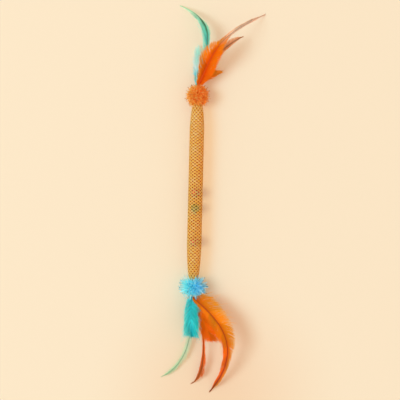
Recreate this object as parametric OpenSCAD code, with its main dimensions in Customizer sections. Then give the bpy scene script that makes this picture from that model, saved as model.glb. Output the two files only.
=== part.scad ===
/* [Sleeve] */
// Distance between the middles of the two pompoms
end_span = 210; // [180:5:300]
// Outside diameter of the mesh sleeve
sleeve_d = 16; // [15:0.5:20]
// Thickness of the sleeve's wall, both layers of the braid
sleeve_wall = 0.7; // [0.5:0.1:1]
// Inside radius of the gathered necks
neck_bore_r = 2.4; // [2.1:0.1:2.8]
// Length over which the sleeve draws in at the orange pompom
orange_flare = 27; // [20:1:40]
// Length over which the sleeve draws in at the blue pompom
blue_flare = 34; // [20:1:40]

/* [Bells] */
// Diameter of the two red bells
bell_d = 11; // [9:0.5:12]
// Diameter of the olive bell between them
small_bell_d = 9.5; // [8:0.5:12]
// Thickness of a bell's sheet metal
bell_wall = 0.35; // [0.3:0.05:0.5]
// Width of the slots that cross at the bottom of a bell
slot_w = 0.9; // [0.6:0.1:1.1]
// Diameter of the round hole at the end of each slot
slot_hole_d = 1.7; // [1.3:0.1:1.9]
// Diameter of the steel ball in a bell
pellet_d = 3; // [2.4:0.1:3.6]
// Thickness of a bell's wire loop
loop_wire = 0.8; // [0.6:0.1:1]
// Place of the first bell, from the middle of the sleeve towards the orange pompom
bell_1_y = -1.4; // [-1.4:0.2:20]
// Gap between the first bell and the second
bell_gap_12 = 6.7; // [5:0.1:12]
// Gap between the loops of the second and the third bell
bell_gap_23 = 22; // [10:0.5:24]

/* [Pompoms] */
// Reach of the shortest tinsel strips from the middle of a pompom
strip_reach = 14; // [13:0.5:17]
// How much further the longest strips of the orange pompom reach
orange_spread = 1.2; // [0:0.1:3]
// How much further the longest strips of the blue pompom reach
blue_spread = 3; // [0:0.1:4]
// Width of a tinsel strip at its tip
strip_w = 1.5; // [1:0.1:1.8]
// Thickness of a tinsel strip at its tip
strip_t = 0.4; // [0.3:0.05:0.5]
// Rings of strips between the sleeve side and the feather side
strip_rings = 9; // [7:2:9]
// Strips in each ring
strips_round = 18; // [14:2:18]
// Radius of the bound middle of the strips
hub_r = 5.6; // [5.4:0.1:6]
// Depth of the flat that a pompom's weight presses into it
flat_depth = 0.5; // [0.3:0.1:0.8]

/* [Bindings] */
// Thickness of the binding thread
thread_d = 0.8; // [0.5:0.1:0.9]
// Turns of thread round each gathered neck
neck_turns = 3; // [2:1:3]
// Turns of thread round the middle of each pompom's strips
strip_turns = 2; // [2:1:3]
// Radius of the glue plug where it passes through the strips
barrel_r = 2.6; // [2.2:0.1:2.8]
// Radius of the glue plug round the feathers' quills
head_r = 3.5; // [3.3:0.1:4]
// Length of the glue plug round the feathers' quills
head_len = 3.6; // [3.4:0.1:5]

/* [Feathers] */
// Length from which the orange end's feathers take their curves
orange_plume = 100; // [80:5:120]
// Length from which the blue end's feathers take their curves
blue_plume = 100; // [80:5:120]
// Width of the widest feather
plume_w = 24; // [18:1:26]
// Radius of a bare quill
quill_r = 0.6; // [0.4:0.05:0.65]
// Radius of a feather's shaft at its tip
tip_r = 0.2; // [0.15:0.05:0.3]

/* [Place] */
// How far the sleeve lies to the left of the middle of the whole toy
sleeve_left = 18.6; // [0:0.1:30]
// How far the sleeve lies towards the orange end from the middle of the whole toy
sleeve_up = 7.8; // [-20:0.1:20]

/* [Hidden] */
soft_gap = 0.3;
fit_gap = 0.1;
cut_over = 1;
smooth = 64;
axis_z = strip_reach - flat_depth;

// Pompom: the strips stay clear of the sleeve and of the quills by this angle from the axis
open_angle = 36;
hub_face = hub_r * cos(open_angle);
ring_shift = floor(strip_rings / 2);
root_share = 0.55;
lean_share = 0.05;
orange_seed = 11;
blue_seed = 23;

// Sleeve: it starts clear of the hub and is held by thread on its straight neck
tie_gap = 0.5;
gather_back = hub_face + soft_gap;
neck_len = neck_turns * thread_d + 2 * tie_gap;
sleeve_len = end_span - 2 * gather_back;
flare_power = 0.3;
flare_steps = 9;
bore_r = sleeve_d / 2 - sleeve_wall;

// Bells: each lies on the bottom of the sleeve, and its ball on the bottom of the bell
lie_gap = 0.4;
pellet_gap = 0.2;
loop_r = 1.3;
loop_leg = 1.1;
bell_r = bell_d / 2;
small_r = small_bell_d / 2;
loop_reach = loop_leg + loop_r + loop_wire / 2 - bell_wall;
bell_2_y = bell_1_y - bell_r - bell_gap_12 - small_r;
bell_3_y = bell_2_y - small_r - 2 * loop_reach - bell_gap_23 - bell_r;
slot_reach_share = 0.25;
bell_1_roll = 25;
bell_2_roll = 70;
bell_3_roll = 50;

// Glue plug: a nose in the neck, a barrel through the strips and a head round the quills
plug_edge = 0.3;
nose_r = neck_bore_r - soft_gap;
nose_back = gather_back + neck_len;
strip_tie_from = hub_face + soft_gap;
head_from = strip_tie_from + strip_turns * thread_d + soft_gap;
head_face = head_from + head_len;
quills = 5;
quill_ring_r = 1.95;
quill_depth = 3;
quill_out = 1;
quill_fit = 0.15;

// Feathers: rings of four corners from the quill's foot to the tip
vane_rings = 36;
cup_share = 0.1;
ruffle_share = 0.16;
end_w = 0.5;
floor_lift = 0.5;

// Each feather's shares have three rows. The first is its curve: two handles and the tip, of the
// plume length, and how far the tip drops to the floor. The others are its left and its right edge,
// seen from above and looking to the tip: places along it, and the vane's width there, of plume_w.
orange_hackle_shares = [
    [[0, 0.35, 0], [0.38, 0.78, 0.2], [-0.19, 0.89], 1],
    [[0.04, 0], [0.25, 0.17], [0.45, 0.33], [0.56, 0.38], [0.66, 0.34], [0.78, 0.2], [0.9, 0.1], [1, 0]],
    [[0.04, 0], [0.4, 0.1], [0.6, 0.11], [0.68, 0.04], [1, 0]]];
orange_down_shares = [
    [[0, 0.15, -0.01], [-0.03, 0.3, -0.04], [-0.01, 0.46], 0.7],
    [[0.08, 0], [0.25, 0.15], [0.5, 0.2], [0.85, 0.19], [1, 0.11]],
    [[0.08, 0], [0.25, 0.11], [0.5, 0.16], [0.85, 0.16], [1, 0.1]]];
orange_long_shares = [
    [[0, 0.3, 0.04], [0.22, 0.58, 0.5], [0.707, 0.81], 1],
    [[0.04, 0], [0.14, 0.24], [0.3, 0.5], [0.42, 0.4], [0.5, 0.2], [0.58, 0.1], [0.85, 0.1], [1, 0]],
    [[0.04, 0], [0.12, 0.24], [0.24, 0.4], [0.36, 0.34], [0.48, 0.2], [0.58, 0.08], [0.85, 0.07], [1, 0]]];
orange_middle_shares = [
    [[0, 0.14, 0], [0.22, 0.42, 0.2], [0.467, 0.56], 0.3],
    [[0.06, 0], [0.2, 0.2], [0.5, 0.28], [0.7, 0.23], [0.85, 0.13], [1, 0]],
    [[0.06, 0], [0.15, 0.24], [0.3, 0.38], [0.42, 0.24], [0.6, 0.13], [0.85, 0.06], [1, 0]]];
orange_tuft_shares = [
    [[0.02, 0.08, -0.01], [0.08, 0.12, -0.02], [0.27, 0.18], 0.6],
    [[0.12, 0], [0.35, 0.16], [0.7, 0.16], [1, 0.05]],
    [[0.12, 0], [0.35, 0.19], [0.7, 0.18], [1, 0.05]]];
blue_down_shares = [
    [[0, 0.15, 0.04], [0.01, 0.3, 0.22], [-0.01, 0.46], -0.1],
    [[0.06, 0], [0.14, 0.16], [0.3, 0.32], [0.6, 0.4], [0.92, 0.38], [1, 0.3]],
    [[0.06, 0], [0.12, 0.18], [0.3, 0.29], [0.6, 0.35], [0.92, 0.35], [1, 0.28]]];
blue_hackle_shares = [
    [[0, 0.4, -0.03], [-0.01, 0.72, -0.06], [0.32, 0.9], 1],
    [[0.06, 0], [0.4, 0.12], [0.6, 0.14], [0.85, 0.12], [1, 0]],
    [[0.06, 0], [0.4, 0.12], [0.6, 0.14], [0.85, 0.12], [1, 0]]];
blue_slim_shares = [
    [[0, 0.3, 0], [-0.29, 0.7, 0.05], [0.007, 0.96], 1],
    [[0.04, 0], [0.12, 0.2], [0.3, 0.34], [0.42, 0.25], [0.5, 0.06], [0.62, 0.05], [0.74, 0.13], [1, 0]],
    [[0.04, 0], [0.3, 0.06], [0.5, 0.04], [0.62, 0.04], [0.74, 0.08], [0.88, 0.07], [1, 0]]];
blue_long_shares = [
    [[-0.14, 0.14, 0.06], [-0.66, 0.42, 0.33], [-0.212, 1.047], 1],
    [[0.05, 0], [0.12, 0.4], [0.25, 0.58], [0.4, 0.5], [0.5, 0.33], [0.6, 0.23], [0.9, 0.1], [1, 0]],
    [[0.05, 0], [0.12, 0.2], [0.25, 0.37], [0.4, 0.42], [0.5, 0.33], [0.6, 0.26], [0.9, 0.1], [1, 0]]];
blue_wide_shares = [
    [[-0.05, 0.14, 0.04], [-0.14, 0.36, 0.12], [-0.22, 0.52], 0.5],
    [[0.06, 0], [0.2, 0.25], [0.5, 0.38], [0.85, 0.4], [1, 0.3]],
    [[0.06, 0], [0.2, 0.25], [0.5, 0.34], [0.85, 0.33], [1, 0.25]]];

// Each end has its own frame: origin in the middle of the pompom, +Y away from the sleeve
module orange_end() {
    translate([-sleeve_left, sleeve_up + end_span / 2, axis_z]) children();
}

module blue_end() {
    translate([-sleeve_left, sleeve_up - end_span / 2, axis_z]) rotate([0, 0, 180]) children();
}

// A revolve about the Y axis instead of the Z axis
module round_y() {
    rotate([-90, 0, 0]) rotate_extrude($fn = smooth) children();
}

// Share of the way from the neck's radius to the full radius, at s into a flare of length len
function flare(s, len) = s <= 0 ? 0 : s >= len ? 1 : pow(s / len, flare_power);

// Stations along a flare, closer together where it opens fastest
function flare_stations(len) = [for (i = [0 : flare_steps]) len * pow(i / flare_steps, 2)];

module mesh_sleeve() {
    blue_side = [for (s = flare_stations(blue_flare))
        [neck_bore_r + (bore_r - neck_bore_r) * flare(s, blue_flare), neck_len + s]];
    orange_side = [for (s = flare_stations(orange_flare))
        [neck_bore_r + (bore_r - neck_bore_r) * flare(s, orange_flare), sleeve_len - neck_len - s]];
    bore = concat([[neck_bore_r, 0]], blue_side,
        [for (i = [flare_steps : -1 : 0]) orange_side[i]], [[neck_bore_r, sleeve_len]]);
    last = len(bore) - 1;
    skin = [for (i = [last : -1 : 0]) [bore[i][0] + sleeve_wall, bore[i][1]]];
    color([1, 0.62, 0.15, 0.45]) translate([-sleeve_left, sleeve_up - sleeve_len / 2, axis_z])
        round_y() polygon(concat(bore, skin));
}

// Turns of thread lying side by side, pulled into each other
module tie(inner_r, turns) {
    color("darkorange") round_y() {
        for (i = [0 : turns - 1]) translate([inner_r + thread_d / 2, (i + 1 / 2) * thread_d])
            circle(d = thread_d, $fn = smooth);
        translate([inner_r + thread_d / 4, thread_d / 2])
            square([thread_d / 2, (turns - 1) * thread_d]);
    }
}

module neck_tie() {
    translate([0, tie_gap - gather_back - neck_len, 0])
        tie(neck_bore_r + sleeve_wall + fit_gap, neck_turns);
}

module strip_tie() {
    translate([0, strip_tie_from, 0]) tie(barrel_r + fit_gap, strip_turns);
}

module glue_plug() {
    color("wheat") difference() {
        round_y() polygon([
            [0, -nose_back], [nose_r - plug_edge, -nose_back], [nose_r, plug_edge - nose_back],
            [nose_r, -hub_face], [barrel_r, -hub_face], [barrel_r, head_from],
            [head_r - plug_edge, head_from], [head_r, head_from + plug_edge],
            [head_r, head_face - plug_edge], [head_r - plug_edge, head_face], [0, head_face]
        ]);
        for (k = [0 : quills - 1]) translate(quill_place(k) - [0, quill_depth, 0])
            rotate([-90, 0, 0])
                cylinder(r = quill_r + quill_fit, h = quill_depth + cut_over, $fn = smooth);
    }
}

// Angles at which the quills leave the plug: straight up first, then clockwise
function quill_angle(k) = 90 - k * 360 / quills;

function quill_place(k) =
    [quill_ring_r * cos(quill_angle(k)), head_face, quill_ring_r * sin(quill_angle(k))];

// Direction from the middle of the pompom: turn is from the sleeve's side, round is from +X
function heading(turn, round) = [sin(turn) * cos(round), -cos(turn), sin(turn) * sin(round)];

function unit(v) = v / norm(v);

function turn_at(i) = open_angle + (180 - 2 * open_angle) * i / strip_rings;

// Each ring of strips is turned against the one before, so that no strip lies behind another
function round_at(i, j) =
    -90 + (j - 1 / 2 + (i - strip_rings / 2) * ring_shift / strip_rings) * 360 / strips_round;

// A corner that would lie under the floor is drawn back along its own strip
function pressed(p, along) = p[2] < -axis_z ? p - along * (p[2] + axis_z) / along[2] : p;

function strip_root(i, j) =
    let (
        corners = [for (c = [[0, 0], [0, 1], [1, 1], [1, 0]])
            hub_r * heading(turn_at(i + c[0]), round_at(i + c[0], j + c[1]))],
        middle = (corners[0] + corners[1] + corners[2] + corners[3]) / 4
    )
    [for (c = corners) middle + (c - middle) * root_share];

// The strips that the pompom stands on, and those above them, neither lean nor reach further
function strip_tip(i, j, spread, lean, longer) =
    let (
        turn = turn_at(i + 1 / 2),
        round = round_at(i + 1 / 2, j + 1 / 2),
        straight = heading(turn, round),
        across = [-sin(round), 0, cos(round)],
        upward = [cos(turn) * cos(round), sin(turn), cos(turn) * sin(round)],
        sway = lean_share * (1 - abs(straight[2])) * (lean[0] * across + lean[1] * upward),
        along = unit(straight + sway),
        middle = along * (strip_reach + spread * longer * (1 - abs(along[2])))
    )
    [for (c = [[-1, -1], [1, -1], [1, 1], [-1, 1]])
        pressed(middle + c[0] * across * strip_w / 2 + c[1] * upward * strip_t / 2, along)];

// The bound middle of the strips is a ball with flat ends and a bore.
// Each strip grows out of one of its facets.
module tinsel(spread, seed) {
    cells = [for (i = [0 : strip_rings - 1], j = [0 : strips_round - 1]) [i, j]];
    count = len(cells);
    leans = rands(-1, 1, 2 * count, seed);
    longer = rands(0, 1, count, seed + 1);
    skin = [for (i = [0 : strip_rings], j = [0 : strips_round - 1])
        hub_r * heading(turn_at(i), round_at(i, j))];
    hole_r = barrel_r + soft_gap;
    hole = [for (i = [0, strip_rings], j = [0 : strips_round - 1])
        let (round = round_at(i, j), face = i == 0 ? -hub_face : hub_face)
        [hole_r * cos(round), face, hole_r * sin(round)]];
    roots = [for (c = cells) each strip_root(c[0], c[1])];
    tips = [for (n = [0 : count - 1])
        each strip_tip(cells[n][0], cells[n][1], spread, [leans[2 * n], leans[2 * n + 1]], longer[n])];
    hole_at = len(skin);
    roots_at = hole_at + len(hole);
    tips_at = roots_at + len(roots);
    function skin_no(i, j) = i * strips_round + j % strips_round;
    function hole_no(i, j) = hole_at + i * strips_round + (j + strips_round) % strips_round;
    frames = [for (n = [0 : count - 1], k = [0 : 3])
        let (
            i = cells[n][0],
            j = cells[n][1],
            ring = [skin_no(i, j), skin_no(i, j + 1), skin_no(i + 1, j + 1), skin_no(i + 1, j)],
            m = (k + 1) % 4,
            root = roots_at + 4 * n,
            tip = tips_at + 4 * n
        )
        each [
            [ring[k], ring[m], root + m], [ring[k], root + m, root + k],
            [root + k, root + m, tip + m], [root + k, tip + m, tip + k]
        ]];
    caps = [for (n = [0 : count - 1]) let (tip = tips_at + 4 * n)
        each [[tip, tip + 1, tip + 2], [tip, tip + 2, tip + 3]]];
    ends = [for (j = [0 : strips_round - 1])
        let (
            a = skin_no(0, j), b = skin_no(0, j + 1), c = hole_no(0, j + 1), d = hole_no(0, j),
            e = skin_no(strip_rings, j), f = skin_no(strip_rings, j + 1),
            g = hole_no(1, j + 1), h = hole_no(1, j),
            p = hole_no(1, j + 1 - ring_shift), q = hole_no(1, j - ring_shift)
        )
        each [[b, a, d], [b, d, c], [e, f, g], [e, g, h], [c, d, q], [c, q, p]]];
    polyhedron(concat(skin, hole, roots, tips), concat(frames, caps, ends));
}

// A bell lies along Y with its loop towards +Y, and roll turns its slots
module in_bell(y, r, roll, flip) {
    translate([-sleeve_left, sleeve_up + y, axis_z - bore_r + lie_gap + r])
        rotate([0, 0, flip ? 180 : 0]) rotate([-90, 0, 0]) rotate([0, 0, roll]) children();
}

module bell_shell(r) {
    hole_z = -r * slot_reach_share;
    difference() {
        sphere(r = r, $fn = smooth);
        sphere(r = r - bell_wall, $fn = smooth);
        for (turn = [0, 90]) rotate([0, 0, turn]) {
            translate([-r - cut_over, -slot_w / 2, -r - cut_over])
                cube([2 * (r + cut_over), slot_w, r + cut_over + hole_z]);
            translate([0, 0, hole_z]) rotate([0, 90, 0])
                cylinder(d = slot_hole_d, h = 2 * (r + cut_over), center = true, $fn = smooth);
        }
        for (side = [-1, 1]) translate([side * loop_r, 0, 0])
            cylinder(d = loop_wire + 2 * fit_gap, h = r + cut_over, $fn = smooth);
    }
}

// A staple of wire through two holes in the crown, with round feet inside
module bell_loop(r) {
    leg_top = r - bell_wall + loop_leg;
    foot_z = sqrt(pow(r - bell_wall, 2) - pow(loop_r + loop_wire, 2)) - loop_wire - fit_gap;
    translate([0, 0, leg_top]) rotate([90, 0, 0]) rotate_extrude(angle = 180, $fn = smooth)
        translate([loop_r, 0]) circle(d = loop_wire, $fn = smooth);
    for (side = [-1, 1]) translate([side * loop_r, 0, foot_z]) {
        cylinder(d = loop_wire, h = leg_top - foot_z, $fn = smooth);
        sphere(d = loop_wire, $fn = smooth);
    }
}

// The steel ball lies at the bottom of its bell, whichever way the bell has rolled
module pellet(y) {
    translate([-sleeve_left, sleeve_up + y,
            axis_z - bore_r + lie_gap + bell_wall + pellet_gap + pellet_d / 2])
        sphere(d = pellet_d, $fn = smooth);
}

module bell_1() {
    in_bell(bell_1_y, bell_r, bell_1_roll, false) children();
}

module bell_2() {
    in_bell(bell_2_y, small_r, bell_2_roll, true) children();
}

module bell_3() {
    in_bell(bell_3_y, bell_r, bell_3_roll, false) children();
}

// Point at t along a cubic curve
function curve(p, t) = pow(1 - t, 3) * p[0] + 3 * t * pow(1 - t, 2) * p[1]
    + 3 * t * t * (1 - t) * p[2] + pow(t, 3) * p[3];

// One feather, from the foot of its quill in the plug's bore number seat to its tip
module feather(seat, plume, shares, seed) {
    turns = shares[0];
    mouth = quill_place(seat);
    foot = mouth - [0, quill_depth - fit_gap, 0];
    start = mouth + [0, quill_out, 0];
    drop = turns[3] * (axis_z + start[2] - floor_lift - tip_r);
    tip = start + [plume * turns[2][0], plume * turns[2][1], -drop];
    route = [start, start + plume * turns[0], start + plume * turns[1], tip];
    middles = concat([foot], [for (i = [0 : vane_rings]) curve(route, i / vane_rings)]);
    ruffle = rands(1 - ruffle_share, 1, 2 * (vane_rings + 1), seed + seat);
    rings = [for (i = [0 : vane_rings + 1])
        let (
            n = max(i - 1, 0),
            t = n / vane_rings,
            next = middles[min(i + 1, vane_rings + 1)],
            along = i == 0 ? [0, 1, 0] : unit(next - middles[i - 1]),
            side = unit(cross(along, [0, 0, 1])),
            up = cross(side, along),
            shaft = quill_r + (tip_r - quill_r) * t,
            left = max(shaft, end_w * t, plume_w * lookup(t, shares[1]) * ruffle[2 * n]),
            right = max(shaft, end_w * t, plume_w * lookup(t, shares[2]) * ruffle[2 * n + 1]),
            m = middles[i]
        )
        each [m - side * left - up * cup_share * (left - shaft), m + up * shaft,
            m + side * right - up * cup_share * (right - shaft), m - up * shaft]];
    walls = [for (i = [0 : vane_rings], k = [0 : 3]) let (a = 4 * i + k, b = 4 * i + (k + 1) % 4)
        each [[a, a + 4, b + 4], [a, b + 4, b]]];
    last = 4 * (vane_rings + 1);
    polyhedron(rings, concat([[0, 1, 2], [0, 2, 3]], walls,
        [[last + 2, last + 1, last], [last + 3, last + 2, last]]));
}

module orange_feather(seat, shares) {
    orange_end() feather(seat, orange_plume, shares, orange_seed);
}

module blue_feather(seat, shares) {
    blue_end() feather(seat, blue_plume, shares, blue_seed);
}

mesh_sleeve();
orange_end() neck_tie();  // neck_tie_orange
blue_end() neck_tie();  // neck_tie_blue
orange_end() glue_plug();  // glue_plug_orange
blue_end() glue_plug();  // glue_plug_blue
color("orangered") orange_end() tinsel(orange_spread, orange_seed);  // tinsel_orange
color("deepskyblue") blue_end() tinsel(blue_spread, blue_seed);  // tinsel_blue
orange_end() strip_tie();  // strip_tie_orange
blue_end() strip_tie();  // strip_tie_blue
color("crimson") bell_1() bell_shell(bell_r);  // bell_1_shell
color("crimson") bell_1() bell_loop(bell_r);  // bell_1_loop
color("silver") pellet(bell_1_y);  // bell_1_pellet
color("olive") bell_2() bell_shell(small_r);  // bell_2_shell
color("olive") bell_2() bell_loop(small_r);  // bell_2_loop
color("silver") pellet(bell_2_y);  // bell_2_pellet
color("crimson") bell_3() bell_shell(bell_r);  // bell_3_shell
color("crimson") bell_3() bell_loop(bell_r);  // bell_3_loop
color("silver") pellet(bell_3_y);  // bell_3_pellet
color("turquoise") orange_feather(4, orange_hackle_shares);  // feather_orange_end_hackle
color("turquoise") orange_feather(3, orange_down_shares);  // feather_orange_end_down
color("orange") orange_feather(0, orange_long_shares);  // feather_orange_end_long
color("orange") orange_feather(1, orange_middle_shares);  // feather_orange_end_middle
color("orange") orange_feather(2, orange_tuft_shares);  // feather_orange_end_tuft
color("turquoise") blue_feather(1, blue_down_shares);  // feather_blue_end_down
color("turquoise") blue_feather(2, blue_hackle_shares);  // feather_blue_end_hackle
color("orange") blue_feather(3, blue_slim_shares);  // feather_blue_end_slim
color("orange") blue_feather(0, blue_long_shares);  // feather_blue_end_long
color("orange") blue_feather(4, blue_wide_shares);  // feather_blue_end_wide
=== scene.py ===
"""A soft cat toy: a braided mesh sleeve with bells, and a tinsel pompom and feathers at each end."""

import math
import random

import bpy
import numpy as np
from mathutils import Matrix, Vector


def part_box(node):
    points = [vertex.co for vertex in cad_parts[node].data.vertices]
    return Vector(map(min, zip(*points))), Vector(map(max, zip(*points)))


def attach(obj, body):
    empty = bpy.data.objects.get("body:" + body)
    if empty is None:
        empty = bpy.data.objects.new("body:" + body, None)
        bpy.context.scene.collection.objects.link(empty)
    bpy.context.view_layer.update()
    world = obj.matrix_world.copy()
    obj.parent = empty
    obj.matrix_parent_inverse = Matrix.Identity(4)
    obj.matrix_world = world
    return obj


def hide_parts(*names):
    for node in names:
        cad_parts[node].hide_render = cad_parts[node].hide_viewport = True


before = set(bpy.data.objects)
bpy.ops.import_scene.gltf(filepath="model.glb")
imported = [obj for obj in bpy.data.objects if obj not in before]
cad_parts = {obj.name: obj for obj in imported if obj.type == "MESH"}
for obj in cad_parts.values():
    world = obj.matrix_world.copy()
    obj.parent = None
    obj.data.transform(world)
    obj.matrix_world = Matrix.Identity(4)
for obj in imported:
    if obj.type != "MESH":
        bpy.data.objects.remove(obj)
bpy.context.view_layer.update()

# The camera looks straight down on the toy, as it lies in the photograph.
# A long lens from high up shows the sleeve's sides parallel.
MM = 0.001
VIEW_MIDDLE = Vector((-13.4, -1.5, 13.5)) * MM
VIEW_ACROSS = 440 * MM
VIEW_HEIGHT = 1600 * MM
VIEW_TILT = math.radians(1.35)
VIEW_REACH = 10

camera =bpy.data.objects.new("camera", bpy.data.cameras.new("camera"))
camera.location = VIEW_MIDDLE + Vector((0, 0, VIEW_HEIGHT))
camera.rotation_euler = (0, 0, VIEW_TILT)
camera.data.lens = camera.data.sensor_width * VIEW_HEIGHT / VIEW_ACROSS
camera.data.clip_end = VIEW_REACH
bpy.context.collection.objects.link(camera)
bpy.context.scene.camera = camera
bpy.context.scene.view_settings.view_transform = "Standard"


# The toy lies on a sheet of peach paper, which is a backdrop and no part of the toy.
# Matt uncoated paper takes soft shadows. Its tone is even, but for a painted soft shadow that makes it a
# little pinker below the feathers.
def linear(code):
    """An sRGB hex colour as the linear colour that shaders work in."""
    parts = [int(code[i : i + 2], 16) / 255 for i in (1, 3, 5)]
    return [c / 12.92 if c <= 0.04045 else ((c + 0.055) / 1.055) ** 2.4 for c in parts] + [1]


def add(material, kind, values=(), links=(), stops=(), **properties):
    """Adds a node with its settings and what feeds it. stops are the places and colours of a ramp."""
    made = material.node_tree.nodes.new(kind)
    for name, value in properties.items():
        setattr(made, name, value)
    for socket, value in dict(values).items():
        made.inputs[socket].default_value = value
    for socket, source in dict(links).items():
        material.node_tree.links.new(source, made.inputs[socket])
    for n, (place, code) in enumerate(stops):
        stop = made.color_ramp.elements[n] if n < 2 else made.color_ramp.elements.new(place)
        stop.position = place
        stop.color = linear(code)
    return made


def new_material(name):
    """An empty material to add nodes to."""
    material = bpy.data.materials.new(name)
    material.use_nodes = True
    material.node_tree.nodes.clear()
    return material


def new_piece(name, points, faces, materials, smooth=True):
    """A mesh object from its points in metres and its faces."""
    mesh = bpy.data.meshes.new(name)
    mesh.from_pydata(points, [], faces)
    mesh.polygons.foreach_set("use_smooth", [smooth] * len(mesh.polygons))
    for material in materials:
        mesh.materials.append(material)
    piece = bpy.data.objects.new(name, mesh)
    bpy.context.collection.objects.link(piece)
    return piece


PAPER_HALF = 3
# The middle and reach of the painted soft shadow on the paper.
SHADOW_PATCH_MIDDLE = Vector((10, -225, 0)) * MM
SHADOW_PATCH_REACH = 150 * MM

paper = new_material("uncoated_peach_paper")
paper_place = add(paper, "ShaderNodeTexCoord")
paper_away = add(
    paper, "ShaderNodeVectorMath", {1: SHADOW_PATCH_MIDDLE}, {0: paper_place.outputs["Object"]},
    operation="DISTANCE",
)
paper_share = add(
    paper, "ShaderNodeMapRange", {"From Max": SHADOW_PATCH_REACH}, {"Value": paper_away.outputs["Value"]},
    interpolation_type="SMOOTHSTEP",
)
# The first tone is the painted shadow's, the second the paper's own.
paper_colour = add(
    paper, "ShaderNodeValToRGB", links={"Fac": paper_share.outputs["Result"]},
    stops=((0, "#F9D9B4"), (1, "#FEEBCB")),
)
paper_shader = add(
    paper, "ShaderNodeBsdfPrincipled", {"Roughness": 0.95, "Specular IOR Level": 0.1},
    {"Base Color": paper_colour.outputs["Color"]},
)
add(paper, "ShaderNodeOutputMaterial", links={"Surface": paper_shader.outputs[0]})
corners = [(x * PAPER_HALF, y * PAPER_HALF, 0) for x, y in ((-1, -1), (1, -1), (1, 1), (-1, 1))]
new_piece("paper", corners, [(0, 1, 2, 3)], [paper])

# A large soft box from the left gives the gloss and the shadows to the right.
# The room is lit by warm walls. Together the two are plain white on the paper.
BOX_AWAY = 8
BOX_ABOVE = math.radians(51)
BOX_SIDE = 3.4
BOX_POWER = 331

soft_box = bpy.data.objects.new("soft_box", bpy.data.lights.new("soft_box", "AREA"))
soft_box.data.size = BOX_SIDE
soft_box.data.energy = BOX_POWER
soft_box.data.color = linear("#BAE7FF")[:3]
soft_box.location = VIEW_MIDDLE + BOX_AWAY * Vector((-math.cos(BOX_ABOVE), 0, math.sin(BOX_ABOVE)))
soft_box.rotation_euler = (VIEW_MIDDLE - soft_box.location).to_track_quat("-Z", "Y").to_euler()
bpy.context.collection.objects.link(soft_box)
room = bpy.data.worlds.new("room")
room.use_nodes = True
room.node_tree.nodes["Background"].inputs["Color"].default_value = linear("#E7D4C7")
bpy.context.scene.world = room

# The sleeve is a tube braided from clear amber nylon monofilament, three half-round strands to a carrier,
# over one and under one. Each gathered end is pushed over the plug's nose and tied. The real braid has
# twelve carriers each way; it is drawn with ten and thicker strands, so that the mesh still shows.
CARRIERS = 10
STRANDS = (-1, 0, 1)
STRAND_R = 0.22 * MM
STRAND_PITCH = 0.44 * MM
CARRIER_SHIFT = 0.25
SLEEVE_WALL = 0.7 * MM
NECK_R = 2.4 * MM
NECK_LENGTH = 3.4 * MM
ORANGE_FLARE = 27 * MM
BLUE_FLARE = 34 * MM
FLARE_POWER = 0.3
BRAID_ANGLE = math.radians(54.4)
BRAID_WAVE = 0.19 * MM
BRAID_STEP = 0.6 * MM

sleeve_low, sleeve_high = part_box("mesh_sleeve")
axis_x = (sleeve_low.x + sleeve_high.x) / 2
axis_z = (sleeve_low.z + sleeve_high.z) / 2
middle_r = (sleeve_high.x - sleeve_low.x - SLEEVE_WALL) / 2
neck_r = NECK_R + SLEEVE_WALL / 2


def braid():
    """Points and faces of every strand. Where the tube draws in, its diamonds narrow and lengthen.
    CARRIER_SHIFT, a share of a carrier, sets the crossings below under the openings above."""
    y = np.arange(sleeve_low.y, sleeve_high.y, BRAID_STEP)
    from_blue = np.clip((y - sleeve_low.y - NECK_LENGTH) / BLUE_FLARE, 0, 1) ** FLARE_POWER
    from_orange = np.clip((sleeve_high.y - NECK_LENGTH - y) / ORANGE_FLARE, 0, 1) ** FLARE_POWER
    radius = neck_r + (middle_r - neck_r) * np.minimum(from_blue, from_orange)
    half_cell = math.pi * radius / CARRIERS
    side = math.pi * middle_r / CARRIERS / math.sin(BRAID_ANGLE)
    half_rise = np.sqrt(side**2 - half_cell**2)
    turned = np.cumsum(math.pi / CARRIERS / half_rise) * BRAID_STEP
    pitch = STRAND_PITCH * half_cell * half_rise / (half_cell * half_rise).max()
    points, faces = [], []
    for way in (1, -1):
        wave = way * BRAID_WAVE * np.cos(CARRIERS * turned)
        for carrier in range(CARRIERS):
            angle = 2 * math.pi * (carrier + CARRIER_SHIFT) / CARRIERS + way * turned
            out = np.stack([np.cos(angle), 0 * y, np.sin(angle)], 1)
            line = out * (radius + wave)[:, None] + np.stack([axis_x + 0 * y, y, axis_z + 0 * y], 1)
            along = np.gradient(line, axis=0)
            along /= np.linalg.norm(along, axis=1)[:, None]
            across = np.cross(along, out)
            for strand in STRANDS:
                first = len(points) * 3 * len(y)
                middle = line + across * (strand * pitch)[:, None]
                rows = (middle - STRAND_R * across, middle + STRAND_R * out, middle + STRAND_R * across)
                points.append(np.stack(rows, 1).reshape(-1, 3))
                for low in range(first, first + 3 * (len(y) - 1), 3):
                    faces.append((low, low + 1, low + 4, low + 3))
                    faces.append((low + 1, low + 2, low + 5, low + 4))
    return np.concatenate(points).tolist(), faces


# Drawn nylon is smooth, clear and dyed right through: it tints what lies behind it, carries a thin
# highlight, and passes most lamp light on to the floor. The strands' inner faces are drawn dark brown, as
# painted shade inside the tube.
NYLON_CLEAR = 0.46

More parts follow.
